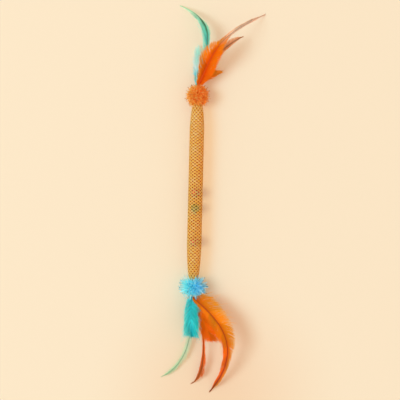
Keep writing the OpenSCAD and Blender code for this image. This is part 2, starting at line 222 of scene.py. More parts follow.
nylon = new_material("drawn_amber_nylon")
nylon_strand = add(nylon, "ShaderNodeNewGeometry")
nylon_outside = add(
    nylon, "ShaderNodeValToRGB", links={"Fac": nylon_strand.outputs["Random Per Island"]},
    stops=((0, "#FFCC44"), (0.5, "#FFDE60"), (1, "#FFF49C")),
)
# Faces seen from inside the tube take a dark brown: painted shade, since the inside gets light only through
# the strands.
nylon_colour_with_inner_shade = add(
    nylon, "ShaderNodeMix", {7: linear("#B04008")},
    {0: nylon_strand.outputs["Backfacing"], 6: nylon_outside.outputs["Color"]}, data_type="RGBA",
)
nylon_skin = add(
    nylon, "ShaderNodeBsdfPrincipled", {"Roughness": 0.35, "IOR": 1.53},
    {"Base Color": nylon_colour_with_inner_shade.outputs[2]},
)
nylon_clear = add(nylon, "ShaderNodeBsdfTransparent", {"Color": linear("#FFC060")})
nylon_both = add(
    nylon, "ShaderNodeMixShader", {0: NYLON_CLEAR},
    {1: nylon_skin.outputs[0], 2: nylon_clear.outputs[0]},
)
nylon_ray = add(nylon, "ShaderNodeLightPath")
nylon_amber = add(nylon, "ShaderNodeBsdfTransparent", {"Color": linear("#FBDDBC")})
nylon_lit = add(
    nylon, "ShaderNodeMixShader",
    links={0: nylon_ray.outputs["Is Shadow Ray"], 1: nylon_both.outputs[0], 2: nylon_amber.outputs[0]},
)
add(nylon, "ShaderNodeOutputMaterial", links={"Surface": nylon_lit.outputs[0]})

sleeve = new_piece("braided_sleeve", *braid(), [nylon])
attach(sleeve, "toy")
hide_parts("mesh_sleeve")


# The bells are pressed steel shells with a wire loop, dipped in coloured metallic lacquer,
# and each holds a loose plain steel ball. They lie free in the sleeve.
FLAKE = 0.4 * MM


def lacquer(name, deep, bright):
    """Metallic lacquer: fine flakes under a clear coat. The flakes are drawn coarse enough to show."""
    made = new_material(name)
    place = add(made, "ShaderNodeTexCoord")
    flakes = add(made, "ShaderNodeTexVoronoi", {"Scale": 1 / FLAKE}, {"Vector": place.outputs["Object"]})
    colour = add(
        made, "ShaderNodeValToRGB", links={"Fac": flakes.outputs["Distance"]},
        stops=((0, bright), (0.6, deep)),
    )
    shader = add(
        made, "ShaderNodeBsdfPrincipled",
        {"Metallic": 0.5, "Roughness": 0.28, "Coat Weight": 0.7, "Coat Roughness": 0.08},
        {"Base Color": colour.outputs["Color"]},
    )
    add(made, "ShaderNodeOutputMaterial", links={"Surface": shader.outputs[0]})
    return made


def dress(name, material):
    """Gives a CAD piece its finish."""
    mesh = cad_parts[name].data
    mesh.materials.clear()
    mesh.materials.append(material)


red_lacquer = lacquer("red_metallic_lacquer", "#C81E38", "#F0505C")
olive_lacquer = lacquer("olive_metallic_lacquer", "#4A3A10", "#80692A")

# Ball steel is tumbled bright, with faint scuffs from rattling.
SCUFF = 0.5 * MM

ball_steel = new_material("tumbled_ball_steel")
ball_place = add(ball_steel, "ShaderNodeTexCoord")
ball_scuffs = add(
    ball_steel, "ShaderNodeTexNoise", {"Scale": 1 / SCUFF, "Detail": 4},
    {"Vector": ball_place.outputs["Object"]},
)
ball_roughness = add(
    ball_steel, "ShaderNodeMapRange", {"To Min": 0.18, "To Max": 0.42},
    {"Value": ball_scuffs.outputs["Fac"]},
)
ball_shader = add(
    ball_steel, "ShaderNodeBsdfPrincipled", {"Base Color": linear("#B9BCC0"), "Metallic": 1},
    {"Roughness": ball_roughness.outputs["Result"]},
)
add(ball_steel, "ShaderNodeOutputMaterial", links={"Surface": ball_shader.outputs[0]})
for number, finish in ((1, red_lacquer), (2, olive_lacquer), (3, red_lacquer)):
    dress(f"bell_{number}_shell", finish)
    dress(f"bell_{number}_loop", finish)
    dress(f"bell_{number}_pellet", ball_steel)

# Waxed polyester thread is wound tight round each gathered neck and each bunch of strips.
# Its twist shows as fine slanting ridges. The wave texture has about three waves to a unit of its scale.
TWIST = 0.7 * MM
WAVES_TO_UNIT = 3

thread = new_material("waxed_polyester_thread")
thread_place = add(thread, "ShaderNodeTexCoord")
thread_twist = add(
    thread, "ShaderNodeTexWave", {"Scale": 1 / TWIST / WAVES_TO_UNIT, "Distortion": 1.5},
    {"Vector": thread_place.outputs["Object"]}, bands_direction="DIAGONAL",
)
thread_colour = add(
    thread, "ShaderNodeValToRGB", links={"Fac": thread_twist.outputs["Fac"]},
    stops=((0, "#A04A10"), (1, "#E08028")),
)
thread_ridges = add(
    thread, "ShaderNodeBump", {"Strength": 0.5, "Distance": 0.1 * MM},
    {"Height": thread_twist.outputs["Fac"]},
)
thread_shader = add(
    thread, "ShaderNodeBsdfPrincipled", {"Roughness": 0.6},
    {"Base Color": thread_colour.outputs["Color"], "Normal": thread_ridges.outputs["Normal"]},
)
add(thread, "ShaderNodeOutputMaterial", links={"Surface": thread_shader.outputs[0]})
for name in ("neck_tie_orange", "neck_tie_blue", "strip_tie_orange", "strip_tie_blue"):
    dress(name, thread)

# The core of each end is hot-melt glue, which holds the neck, the strips and the quills.
# It sets cloudy and cream, with an uneven soft gloss.
CLOUD = 3 * MM

glue = new_material("set_hot_melt_glue")
glue_place = add(glue, "ShaderNodeTexCoord")
glue_clouds = add(
    glue, "ShaderNodeTexNoise", {"Scale": 1 / CLOUD, "Detail": 3},
    {"Vector": glue_place.outputs["Object"]},
)
glue_colour = add(
    glue, "ShaderNodeValToRGB", links={"Fac": glue_clouds.outputs["Fac"]},
    stops=((0.3, "#D9C9A0"), (0.7, "#F0E6C8")),
)
glue_waves = add(
    glue, "ShaderNodeBump", {"Strength": 0.4, "Distance": 0.2 * MM},
    {"Height": glue_clouds.outputs["Fac"]},
)
glue_shader = add(
    glue, "ShaderNodeBsdfPrincipled",
    {"Roughness": 0.35, "Subsurface Weight": 0.3, "Subsurface Scale": 2 * MM},
    {"Base Color": glue_colour.outputs["Color"], "Normal": glue_waves.outputs["Normal"]},
)
add(glue, "ShaderNodeOutputMaterial", links={"Surface": glue_shader.outputs[0]})
for name in ("glue_plug_orange", "glue_plug_blue"):
    dress(name, glue)

# Each pompom is a bunch of narrow strips of polyester film, folded along their middle,
# tied round and fanned out into a ball. The floor bends back the strips under it.
PLUG_OUT = 10.33 * MM
STRIP_ROOT = 3.6 * MM
STRIP_STEPS = 5
STRIP_FOLD = 0.2
STRIP_FOOT = 0.45
STRIP_TWIST = 0.8
STRIP_LENGTHS = (0.75, 1.05)
STRIP_WIDTHS = (0.75, 1.2)
BALL_BENDS = (0.3, 1)
STRAY_BENDS = (0, 0.3)
GOLDEN_ANGLE = math.pi * (3 - math.sqrt(5))
UNEVEN_ANGLE = 0.15
SLEEVE_CONE = math.radians(31)
FEATHER_CONE = math.radians(15)
FLOOR_GAP = 0.15 * MM
LIGHT_THROUGH = 0.45

# Where a ball's colours change, in shares of its radius: painted shade where the strips meet lies further
# in than the first, painted shade and glints on the standing ends begin at the second, and the third is the
# reach of the painted change from the lit left to the shaded right.
STRIPS_PART = 0.8
TIP_MARKS_FROM = 1.04
SIDE_REACH = 0.7
TIP_MARKS_MOST = 0.9

# Each end: the middle of the plug's outer face, and which way along Y it faces.
ends = {
    "orange": (Vector((axis_x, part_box("glue_plug_orange")[1].y, axis_z)), 1),
    "blue": (Vector((axis_x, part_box("glue_plug_blue")[0].y, axis_z)), -1),
}


def pompom(name, end, strips, strip_w, body_r, tip_r, strays, curl, material, seed):
    """A ball of strips, spread evenly round the end's middle but for the cones that the sleeve and the
    feathers fill. Each bends over its flat by up to curl, in radians, and twists by up to STRIP_TWIST.
    strays is the share that stands out of the ball, straighter, up to tip_r."""
    dice = random.Random(seed)
    face, out = ends[end]
    middle = face - Vector((0, out * PLUG_OUT, 0))
    axis = Vector((0, out, 0))
    points, faces = [], []
    for n in range(strips):
        height = 1 - 2 * (n + 0.5) / strips
        round_it = n * GOLDEN_ANGLE + dice.uniform(-UNEVEN_ANGLE, UNEVEN_ANGLE)
        ring = math.sqrt(1 - height * height)
        way = Vector((ring * math.cos(round_it), height, ring * math.sin(round_it)))
        lean = way.angle(axis)
        if lean < FEATHER_CONE or lean > math.pi - SLEEVE_CONE:
            continue
        stray = dice.random() < strays
        reach = dice.uniform(body_r, tip_r) if stray else body_r * dice.uniform(*STRIP_LENGTHS)
        bend = curl * dice.uniform(*(STRAY_BENDS if stray else BALL_BENDS))
        sideways = way.orthogonal().normalized()
        turn = dice.uniform(0, 2 * math.pi)
        over = sideways * math.cos(turn) + way.cross(sideways) * math.sin(turn)
        wide = strip_w * dice.uniform(*STRIP_WIDTHS)
        twist = dice.uniform(-STRIP_TWIST, STRIP_TWIST)
        spine = middle + way * STRIP_ROOT
        first = len(points)
        for step in range(STRIP_STEPS + 1):
            s = step / STRIP_STEPS
            heading = way * math.cos(bend * s * s) + over * math.sin(bend * s * s)
            across = way.cross(over)
            flat = across * math.cos(twist * s) + heading.cross(across) * math.sin(twist * s)
            if step:
                spine = spine + heading * (reach - STRIP_ROOT) / STRIP_STEPS
            fold = heading.cross(flat) * wide * STRIP_FOLD
            half = flat * wide / 2 * (STRIP_FOOT + (1 - STRIP_FOOT) * min(1, 2 * s))
            for point in (spine - half, spine + fold, spine + half):
                points.append((point.x, point.y, max(point.z, FLOOR_GAP)))
        for low in range(first, first + 3 * STRIP_STEPS, 3):
            faces.append((low, low + 1, low + 4, low + 3))
            faces.append((low + 1, low + 2, low + 5, low + 4))
    piece = new_piece(name, points, faces, [material], smooth=False)
    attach(piece, "toy")
    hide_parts(f"tinsel_{end}")


def film(name, end, deep, passed, lit_left_tones, shaded_right_tones, tips, body_r, tip_r):
    """Coated film: glossy strips of slightly differing tint, with painted shade towards the middle where
    they meet. The tones change from the lit left of the ball to its shaded right, painted light and shade,
    and the ends that stand out get painted dark shade and pale glints. passed is the colour of the lamp
    light that goes through a strip."""
    made = new_material(name)
    face, out = ends[end]
    middle = face - Vector((0, out * PLUG_OUT, 0))
    place = add(made, "ShaderNodeTexCoord")
    strip = add(made, "ShaderNodeNewGeometry")
    away = add(
        made, "ShaderNodeVectorMath", {1: middle}, {0: place.outputs["Object"]}, operation="DISTANCE",
    )
    outer = add(
        made, "ShaderNodeMapRange", {"From Min": STRIP_ROOT, "From Max": STRIPS_PART * body_r},
        {"Value": away.outputs["Value"]},
    )
    ending = add(
        made, "ShaderNodeMapRange",
        {"From Min": TIP_MARKS_FROM * body_r, "From Max": tip_r, "To Max": TIP_MARKS_MOST},
        {"Value": away.outputs["Value"]},
    )
    split = add(made, "ShaderNodeSeparateXYZ", links={0: place.outputs["Object"]})
    # Across the ball the tones go from the lighter left set to the darker right set: painted light and
    # shade from the soft box on the left.
    rightward = add(
        made, "ShaderNodeMapRange",
        {"From Min": middle.x - SIDE_REACH * body_r, "From Max": middle.x + SIDE_REACH * body_r},
        {"Value": split.outputs["X"]},
    )
    own = {"Fac": strip.outputs["Random Per Island"]}
    left = add(made, "ShaderNodeValToRGB", links=own, stops=lit_left_tones)
    right = add(made, "ShaderNodeValToRGB", links=own, stops=shaded_right_tones)
    tint = add(
        made, "ShaderNodeMix",
        links={0: rightward.outputs["Result"], 6: left.outputs["Color"], 7: right.outputs["Color"]},
        data_type="RGBA",
    )
    # Towards the ball's middle the tint turns to the first colour given: painted shade where the strips
    # crowd together.
    shaded = add(
        made, "ShaderNodeMix", {6: linear(deep)}, {0: outer.outputs["Result"], 7: tint.outputs[2]},
        data_type="RGBA",
    )
    # The ends that stand out of the ball take dark or pale tones at random: painted shade on strips seen
    # edge-on, and painted glints.
    tip_shade_and_glint = add(made, "ShaderNodeValToRGB", links=own, stops=tips)
    ended = add(
        made, "ShaderNodeMix",
        links={0: ending.outputs["Result"], 6: shaded.outputs[2], 7: tip_shade_and_glint.outputs["Color"]},
        data_type="RGBA",
    )
    shader = add(
        made, "ShaderNodeBsdfPrincipled", {"Metallic": 0.15, "Roughness": 0.35},
        {"Base Color": ended.outputs[2]},
    )
    through = add(made, "ShaderNodeBsdfTranslucent", links={"Color": ended.outputs[2]})
    both = add(
        made, "ShaderNodeMixShader", {0: LIGHT_THROUGH}, {1: shader.outputs[0], 2: through.outputs[0]},
    )
    ray = add(made, "ShaderNodeLightPath")
    clear = add(made, "ShaderNodeBsdfTransparent", {"Color": linear(passed)})
    lit = add(
        made, "ShaderNodeMixShader",
        links={0: ray.outputs["Is Shadow Ray"], 1: both.outputs[0], 2: clear.outputs[0]},
    )
    add(made, "ShaderNodeOutputMaterial", links={"Surface": lit.outputs[0]})
    return made


ORANGE_BODY_R = 12.3 * MM
ORANGE_TIP_R = 15 * MM
BLUE_BODY_R = 11.5 * MM
BLUE_TIP_R = 17.5 * MM

# In each film the first hex colour is the painted shade in the ball's middle and the second is the lamp
# light passed through. The tone lists run from the lit left to the shaded right, and the last pair is
# painted dark shade and pale glints on the ends.
orange_film = film(
    "orange_polyester_film", "orange", "#FFAC40", "#F0D098",
    ((0, "#FFAC40"), (0.5, "#FFC458"), (1, "#FFDC80")),
    ((0, "#FF9838"), (0.5, "#FFB048"), (1, "#FFC868")),
    ((0.5, "#7A4A20"), (0.7, "#E09048")), ORANGE_BODY_R, ORANGE_TIP_R,
)
pompom(
    "orange_pompom", "orange", strips=2200, strip_w=0.9 * MM, body_r=ORANGE_BODY_R, tip_r=ORANGE_TIP_R,
    strays=0.1, curl=1.4, material=orange_film, seed=5,
)
blue_film = film(
    "blue_polyester_film", "blue", "#90F4FF", "#ACE4E8",
    ((0, "#84F8FF"), (0.5, "#A8FFFF"), (1, "#DCFFFF")),
    ((0, "#84D8F8"), (0.5, "#A4ECFF"), (1, "#D0FAFF")),
    ((0.3, "#4A6F90"), (0.6, "#E8F8F8")), BLUE_BODY_R, BLUE_TIP_R,
)
pompom(
    "blue_pompom", "blue", strips=1400, strip_w=1.15 * MM, body_r=BLUE_BODY_R, tip_r=BLUE_TIP_R,
    strays=0.22, curl=1.3, material=blue_film, seed=8,
)

# The feathers are dyed cock's hackles and down. Each quill is glued into its bore in the plug,
# the shaft tapers to the tip, and every barb is a strip of its own that leaves the shaft at a slant.
QUILLS = 5
QUILL_RING = 1.95 * MM
QUILL_IN = 2.9 * MM
QUILL_OUT = 1 * MM
QUILL_R = 0.6 * MM
SHAFT_TIP_R = 0.13 * MM
SHAFT_THIN_BY = 1 / 1.15
SHAFT_TAPER = 0.6
SHAFT_SIDES = 6
SHAFT_STEPS = 40
SHAFT_FINE = 200
PLUME = 100 * MM
PLUME_W = 24 * MM
TIP_LIFT = 0.7 * MM

# A barb curves towards the feather's tip, sags and narrows. Wisps are loose, finer barbs that stand
# out of the vane. A blunt feather ends nearly straight across, and ragged with its locks.
BARB_STEPS = 6
BARB_CURVE = 0.35
BARB_WAVER = 4
BARB_SAG = 0.15
BARB_NARROWING = 0.7
BARB_SPREAD_LEAST = 0.15
LAST_BARB = 0.995
EDGE_ROUNDS = 4
BLUNT_SHARE = 0.97
RAGGED = 16 * MM
FRAY = (-1, 1.2)

# How much locks, barbs and wisps differ from each other: turns in degrees, places along the shaft,
# lifts and shares of the vane's width, and how much of a barb's dye is its lock's.
LOCK_TURN = 6
LOCK_LIFT = 0.12
LOCK_SHARES = (0.84, 1.05)
LOCK_BORDER = 0.15
LOCK_DYE = 0.6
BARB_TURN = 3
BARB_LIFT = 0.06
BARB_SHARES = (0.86, 1.06)
BARB_UNEVEN = 0.4
WISP_TURN = 25
WISP_LIFTS = (-0.15, 0.3)
WISP_SHARES = (1.1, 1.45)
WISP_PLACES = (0.03, 0.75)
WISP_CROWDING = 1.4
WISP_W = 0.45
WISP_DYE = 0.8


def between(stops, t):
    """The value at t along a list of places and values, with straight runs between them."""
    if t <= stops[0][0]:
        return stops[0][1]
    for (place, value), (next_place, next_value) in zip(stops, stops[1:]):
        if t <= next_place:
            return value + (next_value - value) * (t - place) / (next_place - place)
    return stops[-1][1]


def shaft_line(end, seat, handles, tip, drop):
    """The quill's foot in its bore, points evenly along the shaft to its tip, and the shaft's length.
    The shaft follows a curve with two handles. handles and tip are given in shares of PLUME."""
    face, out = ends[end]
    angle = math.radians(90 - seat * 360 / QUILLS)
    mouth = face + QUILL_RING * Vector((out * math.cos(angle), 0, math.sin(angle)))
    start = mouth + Vector((0, out * QUILL_OUT, 0))
    near, far = (start + PLUME * Vector((out * x, out * y, z)) for x, y, z in handles)
    finish = start + PLUME * Vector((out * tip[0], out * tip[1], 0))
    finish.z -= drop * (start.z - TIP_LIFT)
    shares = np.linspace(0, 1, 2 * SHAFT_FINE)[:, None]
    curve = (
        (1 - shares) ** 3 * np.array(start) + 3 * shares * (1 - shares) ** 2 * np.array(near)
        + 3 * shares**2 * (1 - shares) * np.array(far) + shares**3 * np.array(finish)
    )
    run = np.concatenate([[0], np.cumsum(np.linalg.norm(np.diff(curve, axis=0), axis=1))])
    even = np.linspace(0, run[-1], SHAFT_FINE + 1)
    line = [Vector(p) for p in np.stack([np.interp(even, run, curve[:, k]) for k in range(3)], 1)]
    return mouth - Vector((0, out * QUILL_IN, 0)), line, run[-1]


def feather(
    name, node, end, seat, route, left, right, materials, seed,
    barbs=240, barb_w=0.5 * MM, slant=(55, 20), fluff=0.12, clumps=10, wisps=24, blunt=False,
):
    """A shaft with its barbs. route is the shaft's handles, tip and drop to the floor. left and right are
    the vane's edges, seen from above and looking to the tip, as places along it and widths of PLUME_W.
    slant is the barbs' angle to the shaft in degrees, at its foot and at its tip. fluff is how much the
    barbs waver, in radians, and clumps is how many locks lie along each side."""
    dice = random.Random(seed)
    foot, line, length = shaft_line(end, seat, *route)
    out = ends[end][1]
    last = len(line) - 1
    points, faces, along, outward, dye = [], [], [], [], []

    def frame_at(t):
        """The shaft's point at t, and the ways ahead, to the right and up from there."""
        n = t * last
        i = min(int(n), last - 1)
        ahead = (line[min(i + 2, last)] - line[max(i - 1, 0)]).normalized()
        side = ahead.cross(Vector((0, 0, 1))).normalized()
        return line[i].lerp(line[i + 1], n - i), ahead, side, side.cross(ahead)

    def put(point, t, u, depth=0.5):
        """A point above the floor, with its place along and across the vane and its depth of dye."""
        points.append((point.x, point.y, max(point.z, FLOOR_GAP)))
        along.append(t)
        outward.append(u)
        dye.append(depth)

    def barb(t, hand, edge, slope, share, wide, rise, depth):
        """One barb from the shaft at t, on the left (-1) or the right (1), share of the way to the edge.
        The edge is met further along than t, so its width there is found in a few rounds."""
        spot, ahead, side, up = frame_at(t)
        wobble = dice.uniform(-1, 1) * fluff
        steps = [k / BARB_STEPS for k in range(BARB_STEPS)]
        angles = [slope * (1 - BARB_CURVE * u) + wobble * math.sin(BARB_WAVER * u) for u in steps]
        sideways = max(sum(map(math.sin, angles)) / BARB_STEPS, BARB_SPREAD_LEAST)
        forward = sum(map(math.cos, angles)) / BARB_STEPS
        reach = between(edge, t) * PLUME_W
        for _ in range(EDGE_ROUNDS):
            reach = (reach + between(edge, t + reach / sideways * forward / length) * PLUME_W) / 2
        size = max(reach * share, wide) / sideways
        onward = out * (ahead.y * forward + hand * side.y * sideways)
        if blunt and onward > 0:
            ragged = (share - BLUNT_SHARE) * RAGGED + dice.uniform(*FRAY) * MM
            size = min(size, max(out * (line[-1].y - spot.y) + ragged, wide) / onward)
        first = len(points)
        here = spot.copy()
        for k in range(BARB_STEPS + 1):
            u = k / BARB_STEPS
            now = angles[min(k, BARB_STEPS - 1)]
            if k:
                before = angles[k - 1]
                here += (ahead * math.cos(before) + side * hand * math.sin(before)) * size / BARB_STEPS
            level = here + up * (rise * u - BARB_SAG * u * u) * reach
            flat = side * hand * math.cos(now) - ahead * math.sin(now)
            half = flat * wide / 2 * (1 - BARB_NARROWING * u)
            put(level - half, t, 0.5 + hand * u / 2, depth)
            put(level + half, t, 0.5 + hand * u / 2, depth)
        for low in range(first, first + 2 * BARB_STEPS, 2):
            faces.append((low, low + 1, low + 3, low + 2))

    for hand, edge in ((-1, left), (1, right)):
        locks = []
        for _ in range(clumps + 1):
            turn = dice.uniform(-LOCK_TURN, LOCK_TURN)
            lift = dice.uniform(-LOCK_LIFT, LOCK_LIFT)
            share = dice.uniform(*LOCK_SHARES)
            locks.append((turn, lift, share, dice.random()))
        for n in range(barbs):
            t = LAST_BARB * (n + dice.uniform(-BARB_UNEVEN, BARB_UNEVEN)) / (barbs - 1)
            t = min(max(t, 0), LAST_BARB)
            lock = int(t * clumps + dice.uniform(-LOCK_BORDER, LOCK_BORDER))
            turn, lift, share, shade = locks[min(lock, clumps)]
            turn += dice.uniform(-BARB_TURN, BARB_TURN)
            slope = math.radians(slant[0] + (slant[1] - slant[0]) * t + turn)
            share *= dice.uniform(*BARB_SHARES)
            rise = lift + dice.uniform(-BARB_LIFT, BARB_LIFT)
            depth = LOCK_DYE * shade + (1 - LOCK_DYE) * dice.random()
            barb(t, hand, edge, slope, share, barb_w, rise, depth)
        for _ in range(wisps):
            t = dice.uniform(*WISP_PLACES) ** WISP_CROWDING
            slope = math.radians(slant[0] + (slant[1] - slant[0]) * t + dice.uniform(0, WISP_TURN))
            share = dice.uniform(*WISP_SHARES)
            rise = dice.uniform(*WISP_LIFTS)
            barb(t, hand, edge, slope, share, barb_w * WISP_W, rise, WISP_DYE)
    barb_faces = len(faces)

    # The shaft is a tube of rings from the quill's foot to the tip, closed at both ends.
    rings = [(foot, (line[0] - foot).normalized(), 0)]
    rings += [(*frame_at(n / SHAFT_STEPS)[:2], n / SHAFT_STEPS) for n in range(SHAFT_STEPS + 1)]
    first = len(points)
    for spot, ahead, t in rings:
        side = ahead.cross(Vector((0, 0, 1))).normalized()
        up = side.cross(ahead)
        r = QUILL_R + (SHAFT_TIP_R - QUILL_R) * min(1, t / SHAFT_THIN_BY) ** SHAFT_TAPER
        for k in range(SHAFT_SIDES):
            a = 2 * math.pi * k / SHAFT_SIDES
            put(spot + r * (math.cos(a) * side + math.sin(a) * up), t, 0.5)
    end_ring = first + (len(rings) - 1) * SHAFT_SIDES
    for low in range(first, end_ring, SHAFT_SIDES):
        for k in range(SHAFT_SIDES):
            m = (k + 1) % SHAFT_SIDES
            faces.append((low + k, low + m, low + SHAFT_SIDES + m, low + SHAFT_SIDES + k))
    faces.append(tuple(first + k for k in reversed(range(SHAFT_SIDES))))
    faces.append(tuple(end_ring + k for k in range(SHAFT_SIDES)))

    piece = new_piece(name, points, faces, materials)
    for label, shares in (("along", along), ("outward", outward), ("dye", dye)):
        piece.data.attributes.new(label, "FLOAT", "POINT").data.foreach_set("value", shares)
    slots = [0] * barb_faces + [1] * (len(faces) - barb_faces)
    piece.data.polygons.foreach_set("material_index", slots)
    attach(piece, "toy")
    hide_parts(node)


def dyed_barbs(name, tones, edges, roots=((0, "#D8D8D8"),), fade=0.5, depth=(0.8, 1.15), band=0.14):
    """Dyed barbs are matt and let some light through. Each lock of them has its own depth of dye and pales
    outwards. tones run along the shaft, edges are the colours at the vane's left and right edge, and roots
    deepen the tones in a band beside the shaft, where the barbs lie thickest."""
    made = new_material(name)
    where = add(made, "ShaderNodeAttribute", attribute_name="along")
    outer = add(made, "ShaderNodeAttribute", attribute_name="outward")
    lock = add(made, "ShaderNodeAttribute", attribute_name="dye")
    tone = add(made, "ShaderNodeValToRGB", links={"Fac": where.outputs["Fac"]}, stops=tones)
    edge = add(
        made, "ShaderNodeValToRGB", links={"Fac": outer.outputs["Fac"]},
        stops=((0.4, edges[0]), (0.6, edges[1])),
    )
    paling = add(
        made, "ShaderNodeValToRGB", links={"Fac": outer.outputs["Fac"]},
        stops=((0, "#FFFFFF"), (0.4, "#000000"), (0.6, "#000000"), (1, "#FFFFFF")),
    )
    share = add(made, "ShaderNodeMapRange", {"To Max": fade}, {"Value": paling.outputs["Color"]})
    edged = add(
        made, "ShaderNodeMix",
        links={0: share.outputs["Result"], 6: tone.outputs["Color"], 7: edge.outputs["Color"]},
        data_type="RGBA",
    )
    root = add(
        made, "ShaderNodeValToRGB", links={"Fac": where.outputs["Fac"]}, stops=(*roots, (1, roots[-1][1])),
    )
    beside = add(
        made, "ShaderNodeValToRGB", links={"Fac": outer.outputs["Fac"]},
        stops=((0.5 - band, "#000000"), (0.5 + band, "#000000"), (0.5, "#FFFFFF")),
    )
    rooted = add(
        made, "ShaderNodeMix",
        links={0: beside.outputs["Color"], 6: edged.outputs[2], 7: root.outputs["Color"]},
        data_type="RGBA", blend_type="MULTIPLY",
    )
    strength = add(
        made, "ShaderNodeMapRange", {"To Min": depth[0], "To Max": depth[1]},
        {"Value": lock.outputs["Fac"]},
    )
    colour = add(
        made, "ShaderNodeHueSaturation",
        links={"Color": rooted.outputs[2], "Value": strength.outputs["Result"]},
    )
    front = add(
        made, "ShaderNodeBsdfPrincipled", {"Roughness": 0.7, "Specular IOR Level": 0.1},
        {"Base Color": colour.outputs["Color"]},
    )
    through = add(made, "ShaderNodeBsdfTranslucent", links={"Color": colour.outputs["Color"]})
    both = add(
        made, "ShaderNodeMixShader", {0: LIGHT_THROUGH}, {1: front.outputs[0], 2: through.outputs[0]},
    )
    add(made, "ShaderNodeOutputMaterial", links={"Surface": both.outputs[0]})
    return made


def dyed_shaft(name, tones):
    """The shaft is smooth horn, which takes the dye deeper than the barbs and has a low gloss."""
    made = new_material(name)
    where = add(made, "ShaderNodeAttribute", attribute_name="along")
    tone = add(made, "ShaderNodeValToRGB", links={"Fac": where.outputs["Fac"]}, stops=tones)
    shader = add(
        made, "ShaderNodeBsdfPrincipled", {"Roughness": 0.5, "Specular IOR Level": 0.2},
        {"Base Color": tone.outputs["Color"]},
    )
    add(made, "ShaderNodeOutputMaterial", links={"Surface": shader.outputs[0]})
    return made


# Five feathers are glued into the orange end: a turquoise hackle and a tuft of turquoise down,
# and a long, a middle and a short orange one that lean to the right.
feather(
    "turquoise_hackle", "feather_orange_end_hackle", "orange", seat=4,
    route=(((0.11, 0.4, 0), (0.26, 0.69, 0.2)), (-0.197, 0.89), 1),
    left=(
        (0, 0.05), (0.25, 0.14), (0.45, 0.28), (0.57, 0.36), (0.66, 0.39), (0.72, 0.35), (0.8, 0.2),
        (0.88, 0.11), (1, 0),
    ),
    right=((0, 0.05), (0.4, 0.1), (0.57, 0.14), (0.65, 0.1), (0.7, 0.02), (1, 0)),
    materials=[
        dyed_barbs(
            "turquoise_dyed_hackle",
            (
                (0, "#8CF4EC"), (0.3, "#6CE8E0"), (0.5, "#80ECD8"), (0.62, "#94E8C8"), (0.75, "#C8F0CC"),
                (1, "#E0FCDC"),
            ),
            edges=("#F4FFEC", "#D8F0CC"),
            roots=((0.5, "#D8D8D8"), (0.58, "#98A880"), (0.7, "#707C54"), (0.78, "#E8F0E0")),
        ),
        dyed_shaft(
            "turquoise_hackle_shaft",
            ((0, "#8CC8B0"), (0.55, "#5E7A4A"), (0.68, "#34401C"), (0.84, "#98C898")),
        ),
    ],
    seed=31, barbs=340, slant=(50, 18), wisps=16,
)
feather(
    "turquoise_down", "feather_orange_end_down", "orange", seat=3,
    route=(((-0.01, 0.15, -0.01), (-0.027, 0.3, -0.04)), (0.015, 0.45), 0.7),
    left=((0, 0.06), (0.12, 0.12), (0.25, 0.14), (0.5, 0.15), (0.85, 0.19), (1, 0.14)),
    right=((0, 0.06), (0.25, 0.12), (0.5, 0.16), (0.85, 0.18), (1, 0.14)),
    materials=[
        dyed_barbs(
            "turquoise_dyed_down",
            (
                (0, "#78F0F0"), (0.24, "#58ECF8"), (0.4, "#E8FFFF"), (0.6, "#D8FFF8"), (0.8, "#D0FFF4"),
                (1, "#E0FFF8"),
            ),
            edges=("#F8FFFC", "#F0FFFA"), roots=((0, "#FFFFFF"),), depth=(0.9, 1.05),
        ),
        dyed_shaft("turquoise_down_shaft", ((0, "#90E8E0"), (0.4, "#D8FFF8"), (1, "#D0FFF0"))),
    ],
    seed=32, barbs=190, barb_w=0.34 * MM, slant=(45, 22), fluff=0.3, blunt=True,
)
feather(
    "long_orange_feather", "feather_orange_end_long", "orange", seat=0,
    route=(((0.156, 0.32, 0.04), (0.142, 0.485, 0.5)), (0.72, 0.812), 1),
    left=(
        (0, 0.12), (0.05, 0.18), (0.13, 0.3), (0.23, 0.46), (0.32, 0.54), (0.38, 0.4), (0.43, 0.17),
        (0.5, 0.1), (0.85, 0.08), (1, 0),
    ),
    right=(
        (0, 0.14), (0.08, 0.32), (0.16, 0.46), (0.28, 0.42), (0.38, 0.34), (0.46, 0.18), (0.54, 0.07),
        (0.85, 0.06), (1, 0),
    ),
    materials=[
        dyed_barbs(
            "orange_dyed_hackle",
            (
                (0, "#FF7C00"), (0.2, "#FF9000"), (0.4, "#FF9C04"), (0.47, "#FFC080"), (0.56, "#FFF0DC"),
                (1, "#FFF0E0"),
            ),
            edges=("#FFB030", "#FF9C18"), roots=((0, "#F09C80"), (0.36, "#F0A080"), (0.46, "#FFFFFF")),
            fade=0.6, band=0.24,
        ),
        dyed_shaft(
            "orange_hackle_shaft", ((0, "#E85408"), (0.4, "#E05810"), (0.52, "#C08848"), (1, "#E0B088")),
        ),
    ],
    seed=33, barbs=520, barb_w=0.6 * MM, slant=(62, 17),
)
feather(
    "middle_orange_feather", "feather_orange_end_middle", "orange", seat=1,
    route=(((0, 0.14, 0), (0.22, 0.42, 0.2)), (0.467, 0.555), 0.3),
    left=((0, 0.12), (0.2, 0.2), (0.5, 0.28), (0.7, 0.25), (0.85, 0.16), (1, 0)),
    right=((0, 0.14), (0.15, 0.36), (0.3, 0.38), (0.42, 0.26), (0.6, 0.13), (0.85, 0.06), (1, 0)),
    materials=[
        dyed_barbs(
            "orange_dyed_saddle",
            ((0, "#FF9000"), (0.45, "#FF9C08"), (0.6, "#FFC080"), (0.85, "#FFD4A8"), (1, "#E8A060")),
            edges=("#FFC890", "#FF9C30"),
        ),
        dyed_shaft("orange_saddle_shaft", ((0, "#E05808"), (0.5, "#A85010"), (1, "#7E4414"))),
    ],
    seed=34, barbs=320,
)
